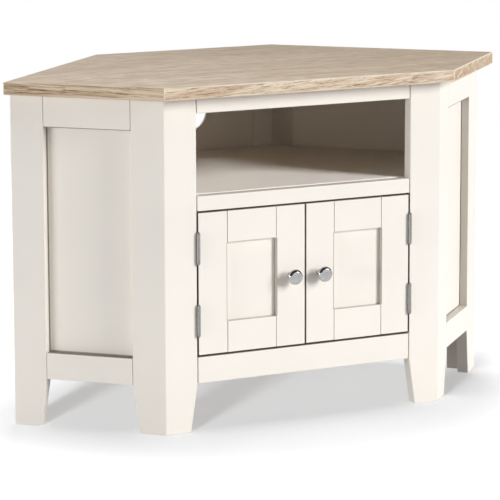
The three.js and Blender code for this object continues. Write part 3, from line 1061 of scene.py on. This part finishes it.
@dataclass
class TopBoard(Assembly):
    """The oak top: a six-sided slab with eased arrises, its edges mapped along their length."""

    MAP = "edge_map"

    front_width: float = 0.520
    side_reach: float = 0.190
    wall_reach: float = 0.282
    corner_radius: float = 0.0022
    ease: float = 0.0018
    arris_material: int = 1
    side_materials: tuple[int, ...] = (2, 3, 4, 4, 4, 5)
    plain_sides: tuple[int, ...] = (2, 3, 4, 5)
    face_material: int = 0

    def build(self) -> None:
        """Makes the top and dresses its faces, edges and arrises."""
        low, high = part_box("top_board")
        half, depth = self.front_width / 2, (self.side_reach + self.wall_reach) / 2
        wide, bend = half + self.side_reach, self.side_reach - depth
        back = wide - self.wall_reach
        corners = ((-half, -depth), (half, -depth), (wide, bend), (back, depth), (-back, depth), (-wide, bend))
        slab = Slab(corners, low.z, high.z, self.corner_radius, self.ease)
        piece = slab.piece("oak_top")
        face = LimedOak()
        for finish in (face, OAK_ARRIS_HIGHLIGHT, FRONT_OAK, RIGHT_OAK, WALL_OAK, LEFT_OAK):
            piece.data.materials.append(finish.material())
        self.dress(piece.data, slab)
        piece.data.shade_smooth()
        self.shop.place(piece, Body.CARCASS, face, "top_board")

    def dress(self, mesh: Mesh, slab: Slab) -> None:
        """Gives each face its material and maps the edges.

        U is the distance round the outline and V the height, so a mark's size in the map is its size in metres.

        Args:
            mesh: The top's mesh.
            slab: The slab that it was made from.
        """
        rings = slab.rings()
        rows, columns = rings.shape[:2]
        steps = slab.corner_steps + 1
        row, column = np.divmod(np.arange((rows - 1) * columns), columns)
        on_side = column % steps == steps - 1
        on_edge = on_side & ((row == slab.ease_steps) | np.isin(column // steps, self.plain_sides))
        of_side = np.array(self.side_materials)[column // steps]
        faces = [self.face_material] * 2
        numbers = np.concatenate([np.where(on_edge, of_side, self.arris_material), faces]).astype(np.int32)
        mesh.polygons.foreach_set("material_index", numbers)
        outline = rings[slab.ease_steps, :, :2]
        stretch = np.linalg.norm(np.roll(outline, -1, axis=0) - outline, axis=1)
        distance = np.concatenate([[0.0], np.cumsum(stretch)])
        start, end = distance[column], distance[column + 1]
        low, high = rings[row, 0, 2], rings[row + 1, 0, 2]
        sides = np.stack([start, low, end, low, end, high, start, high], axis=1)
        flats = np.concatenate([rings[0, ::-1, :2], rings[-1, :, :2]])
        layer = mesh.uv_layers.new(name=self.MAP)
        layer.data.foreach_set("uv", np.concatenate([sides.ravel(), flats.ravel()]))


@dataclass(frozen=True)
class CrossScrew:
    """A screw with a cross recess, driven along a direction from its head's seat.

    Its head's face follows crown * (1 - (r / head radius)^2) less the recess, which is as deep as its depth
    inside two crossing bars of the recess's width and fades out over the bars' edges and ends.
    """

    seat: Vector3
    into: Vector3
    head_radius: float = 0.0029
    head_height: float = 0.0
    crown: float = 0.0002
    shank_radius: float = 0.0015
    length: float = 0.012
    recess_depth: float = 0.0008
    recess_half_width: float = 0.00045
    recess_reach: float = 0.0019
    side_fade: float = 1.5
    end_fade: float = 0.3
    face_rings: int = 15
    segments: int = 40

    def surface(self) -> Surface:
        """Works out the screw's surface from the middle of its head to its point.

        Returns:
            The points and the quads.
        """
        share = np.linspace(0, 1, self.face_rings)
        face = np.stack([share * self.head_radius, self.head_height + self.crown * (1 - share**2)], axis=1)
        if self.head_height > 0:
            body = [(self.head_radius, 0.0), (self.shank_radius, 0.0)]
        else:
            body = [(self.shank_radius, self.shank_radius - self.head_radius)]
        rest = [*body, (self.shank_radius, -self.length + 2 * self.shank_radius), (0.0, -self.length)]
        turning = Turning(self.seat, times(self.into, -1), self.segments)
        return turning.surface(np.vstack([face, rest]), self.recess)

    def recess(self, radius: Array, turn: Array) -> Array:
        """How far the recess lowers the head at each radius and turn.

        Args:
            radius: The rings' radii.
            turn: The turn of each point.

        Returns:
            The change of the reach, zero outside the recess.
        """
        arm = np.minimum(abs(radius * np.cos(turn)), abs(radius * np.sin(turn)))
        side = np.clip(self.side_fade - arm / self.recess_half_width, 0, 1)
        end = np.clip((self.recess_reach - radius) / (self.recess_reach * self.end_fade), 0, 1)
        head = (np.arange(radius.shape[0]) < self.face_rings)[:, None]
        return -self.recess_depth * side * end * head


@dataclass
class Hinge(Assembly):
    """A butt hinge: eased leaves on the leg and on the door, a pin, and three screws in each leaf."""

    hand: Hand
    level: str
    door: Body
    ease: Ease = Ease(0.00022, segments=2)
    screw_places: tuple[Span, ...] = ((-0.01692, 0.0093), (0.0, 0.0126), (0.01692, 0.0093))
    head_inset: float = 0.00038

    def build(self) -> None:
        """Dresses the leaves and the pin, and makes the screws."""
        start = f"{self.hand.word}_{self.level}_hinge"
        low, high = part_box(f"{start}_pin")
        axis = (low + high) / 2
        self.shop.eased(f"{start}_pin", Body.CARCASS, [BRUSHED_STEEL], self.ease)
        leaves = (("frame", Body.CARCASS, self.hand.value), ("door", self.door, -self.hand.value))
        for side, body, wood in leaves:
            self.shop.eased(f"{start}_{side}_leaf", body, [BRUSHED_STEEL], self.ease)
            x = axis.x + wood * self.head_inset
            seats = [(x, axis.y + back, axis.z + up) for up, back in self.screw_places]
            screws = [CrossScrew(seat, (wood, 0, 0)).surface() for seat in seats]
            self.shop.join(f"{start}_{side}_screws", body, BRUSHED_STEEL, screws, crisp=SCREW_CRISP)


@dataclass
class Knob(Assembly):
    """A round knob: a low domed face inside a steep rim, on a waisted neck with a foot.

    The stem's radii and reaches are in metres, the head's are shares of its radius and its thickness.
    """

    hand: Hand
    door: Body
    neck_length: float = 0.013
    head_radius: float = 0.0126
    head_thickness: float = 0.009
    stem_radii: tuple[float, ...] = (0.00582, 0.006, 0.00576, 0.004704, 0.0042, 0.004452, 0.006)
    stem_reaches: tuple[float, ...] = (0.0, 0.00055, 0.00176, 0.00374, 0.00585, 0.00975, 0.012805)
    head_radii: tuple[float, ...] = (0.64, 0.84, 0.96, 1.0, 0.985, 0.93, 0.8, 0.72, 0.66, 0.4, 0.0)
    head_reaches: tuple[float, ...] = (0.02, 0.09, 0.23, 0.41, 0.56, 0.7, 0.86, 0.935, 0.95, 0.984, 1.0)
    line_steps: int = 5
    segments: int = 64
    screw_head: float = 0.0016
    screw_crown: float = 0.0007

    def build(self) -> None:
        """Turns the knob, and the machine screw whose round head shows inside the door."""
        node = f"{self.hand.word}_knob"
        low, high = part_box(node)
        foot = ((low.x + high.x) / 2, high.y, (low.z + high.z) / 2)
        radii = [*self.stem_radii, *(self.head_radius * share for share in self.head_radii)]
        rises = (self.neck_length + self.head_thickness * share for share in self.head_reaches)
        outline = np.array([radii, [*self.stem_reaches, *rises]]).T
        profile = np.vstack([(0.0, 0.0), smooth_line(outline, self.line_steps)])
        surface = Turning(foot, Way.FORWARD.value, self.segments).surface(profile)
        self.shop.join(f"{node}_turned", self.door, CHROME, [surface], node, crisp=ROUND_CRISP)
        node = f"{self.hand.word}_knob_screw"
        low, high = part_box(node)
        seat = ((low.x + high.x) / 2, high.y - self.screw_head - self.screw_crown, (low.z + high.z) / 2)
        screw = CrossScrew(
            seat,
            Way.FORWARD.value,
            head_radius=(high.x - low.x) / 2,
            head_height=self.screw_head,
            crown=self.screw_crown,
            shank_radius=0.002,
            length=seat[1] - low.y,
            recess_depth=0.0014,
            recess_half_width=0.00055,
            recess_reach=0.0026,
        )
        self.shop.join(f"{node}_turned", self.door, ZINC, [screw.surface()], node, crisp=SCREW_CRISP)


@dataclass(frozen=True)
class Window:
    """An upright oblong in the doors' plane, by its least and greatest X and its least and greatest Z."""

    left: float
    right: float
    bottom: float
    top: float

    def cuts(self) -> list[Plane]:
        """Gives the planes through its four sides."""
        upright = [((x, 0.0, 0.0), Way.RIGHT.value) for x in (self.left, self.right)]
        return upright + [((0.0, 0.0, z), Way.UP.value) for z in (self.bottom, self.top)]

    def depth(self, middles: Array) -> Array:
        """How far each point lies inside the nearest of its sides, less than zero outside."""
        x, z = middles[:, 0], middles[:, 2]
        return np.min([x - self.left, self.right - x, z - self.bottom, self.top - z], axis=0)

    def border(self, middles: Array, normals: Array) -> Array:
        """Picks the painted shade, coat number 2, for the faces outside the window."""
        return np.where(self.depth(middles) < 0, 2, 0)


@dataclass
class Door(Assembly):
    """A framed door with its panel, knob, strike plate and two hinges."""

    hand: Hand
    frame_ease: Ease = Ease(0.0005)
    rail_ease: Ease = Ease(0.0007, end_trim=0.0006)
    panel_ease: Ease = Ease(0.0003, segments=2)
    shade_line: float = 0.001
    lip_line: float = 0.0012
    outline_depth: float = 0.0001
    flat_normal: float = 0.5
    strike_corner: float = 0.002
    strike_ease: float = 0.0003
    screw_lift: float = 0.00005

    @property
    def body(self) -> Body:
        """The body that this door is."""
        return Body[f"{self.hand.name}_DOOR"]

    def build(self) -> None:
        """Dresses the door and what it carries."""
        start = f"{self.hand.word}_door"
        stiles = (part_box(f"{start}_{name}_stile") for name in ("hinge", "lock"))
        (left, left_inner), (right_inner, right) = sorted(stiles, key=lambda box: box[0].x)
        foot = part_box(f"{start}_bottom_rail")[1].z + self.shade_line
        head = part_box(f"{start}_top_rail")[0].z - self.shade_line
        window = Window(left_inner.x + self.shade_line, right_inner.x - self.shade_line, foot, head)
        opening = Window(left_inner.x - self.lip_line, right_inner.x + self.lip_line, foot, head)
        coat = partial(self.coat, Window(left.x, right.x, left.z, right.z), opening)
        boards = (
            ("lock_stile", Grain.UPRIGHT, self.frame_ease, coat, opening.cuts()),
            ("hinge_stile", Grain.UPRIGHT, self.frame_ease, coat, opening.cuts()),
            ("top_rail", Grain.ACROSS, self.rail_ease, coat, ()),
            ("bottom_rail", Grain.ACROSS, self.rail_ease, coat, ()),
            ("panel", Grain.UPRIGHT, self.panel_ease, window.border, window.cuts()),
        )
        for name, grain, ease, choose, cuts in boards:
            # painted shade: the door's edges, the ledge and sides of its recess and lines beside its panel take
            # darker ivory
            coats = [kind.along(grain) for kind in (Coat.IVORY_PAINT, Coat.THIN_IVORY, Coat.REVEAL_IVORY)]
            self.shop.eased(f"{start}_{name}", self.body, coats, ease, choose, grain, cuts)
        Knob(self.shop, self.hand, self.body).build()
        self.strike()
        for level in ("upper", "lower"):
            Hinge(self.shop, self.hand, level, self.body).build()

    def coat(self, outline: Window, opening: Window, middles: Array, normals: Array) -> Array:
        """Picks the coat of each face of the door's frame.

        Args:
            outline: The door's outline.
            opening: The panel's opening, with the thin line on the stiles beside it.
            middles: The faces' middles.
            normals: The faces' normals.

        Returns:
            1, the deeper painted shade, on the outline and the stiles' lines, 2, the lighter painted shade, on
            the ledge and the sides of the recess, and 0, the full ivory, on all the rest.
        """
        x, y, z = normals.T
        edge = (outline.depth(middles) < self.outline_depth) & (abs(y) < self.flat_normal)
        lip = (y < -SQUARE_ON) & (opening.depth(middles) > 0)
        return np.where(edge | lip, 1, np.where((z > SQUARE_ON) | (abs(x) > SQUARE_ON), 2, 0))

    def strike(self) -> None:
        """Makes the strike plate that meets the magnets, with its screw."""
        node = f"{self.hand.word}_strike_plate"
        low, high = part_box(node)
        size, middle = high - low, (low + high) / 2
        slab = Slab.oblong((size.x, size.z), (-size.y / 2, size.y / 2), self.strike_corner, self.strike_ease)
        self.shop.place(slab.upright_piece(f"{node}_pressed", tuple(middle)), self.body, ZINC, node)
        seat = (middle.x, high.y + self.screw_lift, middle.z)
        screw = CrossScrew(seat, Way.FORWARD.value, length=0.011, crown=0.00015)
        self.shop.join(f"{node}_screw", self.body, ZINC, [screw.surface()], crisp=SCREW_CRISP)


@dataclass
class MagneticCatch(Assembly):
    """The double catch under the shelf: a moulded body, and for each door a magnet between two pole plates."""

    ease: Ease = Ease(0.0008)
    height_share: float = 0.45
    magnet_size: Span = (0.0145, 0.0085)
    magnet_depths: Span = (-0.0024, 0.00004)
    pole_size: Span = (0.0155, 0.0013)
    pole_depths: Span = (-0.0024, 0.00024)
    corner_radius: float = 0.0004
    block_ease: float = 0.00015
    magnet_across: float = 0.0135
    screw_across: float = 0.0165
    screw_inset: float = 0.0065
    foot_thickness: float = 0.003

    def build(self) -> None:
        """Dresses the body and makes the magnets, pole plates and screws."""
        node, carcass = "magnetic_catch", Body.CARCASS
        self.shop.eased(node, carcass, [PLASTIC], self.ease)
        low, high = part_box(node)
        height = low.z + (high.z - low.z) * self.height_share
        pole_up = (self.magnet_size[1] + self.pole_size[1]) / 2
        magnet = Slab.oblong(self.magnet_size, self.magnet_depths, self.corner_radius, self.block_ease)
        pole = Slab.oblong(self.pole_size, self.pole_depths, self.corner_radius, self.block_ease)
        for hand in Hand:
            x = hand.value * self.magnet_across
            self.shop.place(magnet.upright_piece(f"{hand.word}_magnet", (x, low.y, height)), carcass, FERRITE)
            for word, up in (("upper", pole_up), ("lower", -pole_up)):
                plate = pole.upright_piece(f"{hand.word}_{word}_pole_plate", (x, low.y, height + up))
                self.shop.place(plate, carcass, ZINC)
        y, z = high.y - self.screw_inset, high.z - self.foot_thickness
        seats = [(hand.value * self.screw_across, y, z) for hand in Hand]
        screws = [CrossScrew(seat, Way.UP.value, head_height=0.0012, crown=0.0006).surface() for seat in seats]
        self.shop.join("catch_screws", carcass, ZINC, screws, crisp=SCREW_CRISP)


class Link(Enum):
    """What a lamp lights: the things that it names alone, or everything but them."""

    ONLY = "INCLUDE"
    ALL_BUT = "EXCLUDE"


@dataclass(frozen=True)
class Lamp:
    """A soft rectangular lamp that faces the object and lights some things alone, or everything but them.

    Its azimuth is 0 straight in front of the doors and grows to the right, so its direction from the object is
    (sin azimuth * cos elevation, -cos azimuth * cos elevation, sin elevation). A white face square to it shows
    its level, because its power is level * pi^2 * distance^2.
    """

    name: str
    azimuth: float
    elevation: float
    size: Span
    level: float
    colour: Vector3
    link: Link
    things: tuple[str, ...]
    distance: float = 30.0

    def hang(self, aim: Vector3) -> None:
        """Hangs the lamp.

        Args:
            aim: The point that it faces.
        """
        turn, rise = math.radians(self.azimuth), math.radians(self.elevation)
        towards = np.array((math.sin(turn) * math.cos(rise), -math.cos(turn) * math.cos(rise), math.sin(rise)))
        light = bpy.data.lights.new(self.name, "AREA")
        light.shape = "RECTANGLE"
        light.size, light.size_y = self.size
        light.energy = self.level * math.pi**2 * self.distance**2
        light.color = self.colour
        lamp = bpy.data.objects.new(self.name, light)
        lamp.location = np.array(aim) + towards * self.distance
        lamp.rotation_euler = Euler((math.pi / 2 - rise, 0.0, turn))
        lamp.visible_camera = False
        bpy.context.scene.collection.objects.link(lamp)
        linked = bpy.data.collections.new(f"{self.name}_lights")
        for number, thing in enumerate(self.things):
            linked.objects.link(bpy.data.objects[thing])
            linked.collection_objects[number].light_linking.link_state = self.link.value
        lamp.light_linking.receiver_collection = linked


@dataclass
class Studio:
    """The floor, the lamps, the surroundings and the camera.

    The key only grazes flat boards. A raking lamp just under it lights the shelf once more, and a lamp from
    behind and above lights the top once more without lighting its front edges. The floor has lamps of its own:
    one overhead, and a low one whose light passes under the rails and is stopped by the legs.
    """

    floor_size: float = 5.0
    floor_colour: Vector3 = (0.784, 0.8, 0.832)
    floor_lift: float = 0.36
    far_lift: float = 0.4
    far_range: Span = (0.36, 0.7)
    ambient: float = 0.15
    tint: Vector3 = (1.0, 0.965, 0.92)
    ceiling: float = 0.07
    ceiling_angles: Span = (6.0, 16.0)
    lamps: tuple[Lamp, ...] = (
        Lamp("raking", 39.0, 18.0, (9.75, 13.9), 0.76, (0.94, 0.985, 1.07), Link.ONLY, ("shelf_eased",)),
        Lamp("sky", 170.0, 62.0, (12.0, 12.0), 0.41, COOL, Link.ONLY, ("oak_top",)),
        Lamp("overhead", 152.0, 85.5, (0.8, 1.8), 0.56, WHITE, Link.ONLY, ("floor",), 3.0),
        Lamp("low", -47.0, 8.0, (4.0, 1.5), 1.2, WHITE, Link.ONLY, ("floor",)),
        Lamp("key", 39.0, 19.5, (9.75, 13.9), 0.955, COOL, Link.ALL_BUT, ("floor",)),
        Lamp("fill", -85.0, 6.0, (16.0, 5.0), 0.52, COOL, Link.ALL_BUT, ("floor",)),
        Lamp("rear", 178.0, 20.0, (14.0, 8.0), 0.4, COOL, Link.ALL_BUT, ("floor", "oak_top")),
    )
    aim: Vector3 = (0.0, 0.0, 0.28)
    camera_place: Vector3 = (-2.0496, -4.0645, 1.0952)
    camera_yaw: float = 27.88
    camera_pitch: float = 9.58
    lens: float = 199.3
    sensor: float = 36.0
    shift: float = -0.1

    def build(self) -> None:
        """Sets up the whole studio round the finished object."""
        self.floor()
        self.surroundings()
        for lamp in self.lamps:
            lamp.hang(self.aim)
        self.camera()
        bpy.context.scene.view_settings.view_transform = "Standard"

    def seen_rays(self, shader: Shader) -> tuple[Socket, Socket]:
        """Tells which rays show the background.

        Args:
            shader: The node tree.

        Returns:
            Whether a ray comes from the camera, and whether it comes from there or from gloss or glass.
        """
        rays = shader.node("LightPath").outputs
        mirrored = shader.maths("MAXIMUM", rays["Is Glossy Ray"], rays["Is Transmission Ray"])
        return rays["Is Camera Ray"], shader.maths("MAXIMUM", rays["Is Camera Ray"], mirrored)

    def floor(self) -> None:
        """Lays a plain pale floor that shows white where nothing shades it, and far from the object anyway."""
        half = self.floor_size / 2
        points = np.array([(-half, -half, 0), (half, -half, 0), (half, half, 0), (-half, half, 0)], float)
        floor = new_piece("floor", points, [(0, 1, 2, 3)])
        material = bpy.data.materials.new("studio_floor")
        material.use_nodes = True
        shader = Shader(material.node_tree)
        camera, seen = self.seen_rays(shader)
        pale = shader.node("BsdfDiffuse", {"Color": self.floor_colour}).outputs[0]
        away = shader.node("VectorMath", {0: shader.place()}, operation="LENGTH").outputs["Value"]
        far = shader.maths("MULTIPLY", camera, shader.spread(away, *self.far_range, 0.0, self.far_lift))
        lift = shader.maths("ADD", shader.maths("MULTIPLY", seen, self.floor_lift), far)
        glow = shader.node("Emission", {"Color": WHITE, "Strength": lift}).outputs[0]
        both = shader.node("AddShader", {0: pale, 1: glow}).outputs[0]
        shader.node("OutputMaterial", {"Surface": both})
        floor.data.materials.append(material)

    def surroundings(self) -> None:
        """Sets soft even light, a white background, and a darker ceiling that only gloss shows."""
        world = bpy.data.worlds.new("studio")
        world.use_nodes = True
        bpy.context.scene.world = world
        shader = Shader(world.node_tree)
        camera, seen = self.seen_rays(shader)
        direction = shader.node("TexCoord").outputs["Generated"]
        height = shader.node("SeparateXYZ", {0: direction}).outputs["Z"]
        up = shader.spread(height, *(math.sin(math.radians(angle)) for angle in self.ceiling_angles))
        mirrored = shader.blend(up, WHITE, times(WHITE, self.ceiling))
        shown = shader.blend(camera, mirrored, WHITE)
        colour = shader.blend(seen, times(self.tint, self.ambient), shown)
        back = shader.node("Background", {"Color": colour, "Strength": 1.0}).outputs[0]
        shader.node("OutputWorld", {"Surface": back})

    def camera(self) -> None:
        """Puts the camera at the photograph's viewing angle."""
        lens = bpy.data.cameras.new("photograph")
        lens.lens = self.lens
        lens.sensor_width = self.sensor
        lens.shift_x = lens.shift_y = self.shift
        camera = bpy.data.objects.new("photograph", lens)
        camera.location = self.camera_place
        tilt, turn = math.radians(90 - self.camera_pitch), -math.radians(self.camera_yaw)
        camera.rotation_euler = Euler((tilt, 0.0, turn))
        bpy.context.scene.collection.objects.link(camera)
        bpy.context.scene.camera = camera


@dataclass
class Cabinet(Assembly):
    """The whole cabinet, in the order of its making."""

    def build(self) -> None:
        """Builds every sub-assembly in the workshop."""
        doors = (Door(self.shop, hand) for hand in Hand)
        for assembly in (Carcass(self.shop), TopBoard(self.shop), *doors, MagneticCatch(self.shop)):
            assembly.build()


def main() -> None:
    """Builds the cabinet and the studio."""
    logging.basicConfig(level=logging.INFO, format="%(message)s")
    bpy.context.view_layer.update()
    Cabinet(Workshop(frame["nodes"])).build()
    Studio().build()


if __name__ == "__main__":
    main()
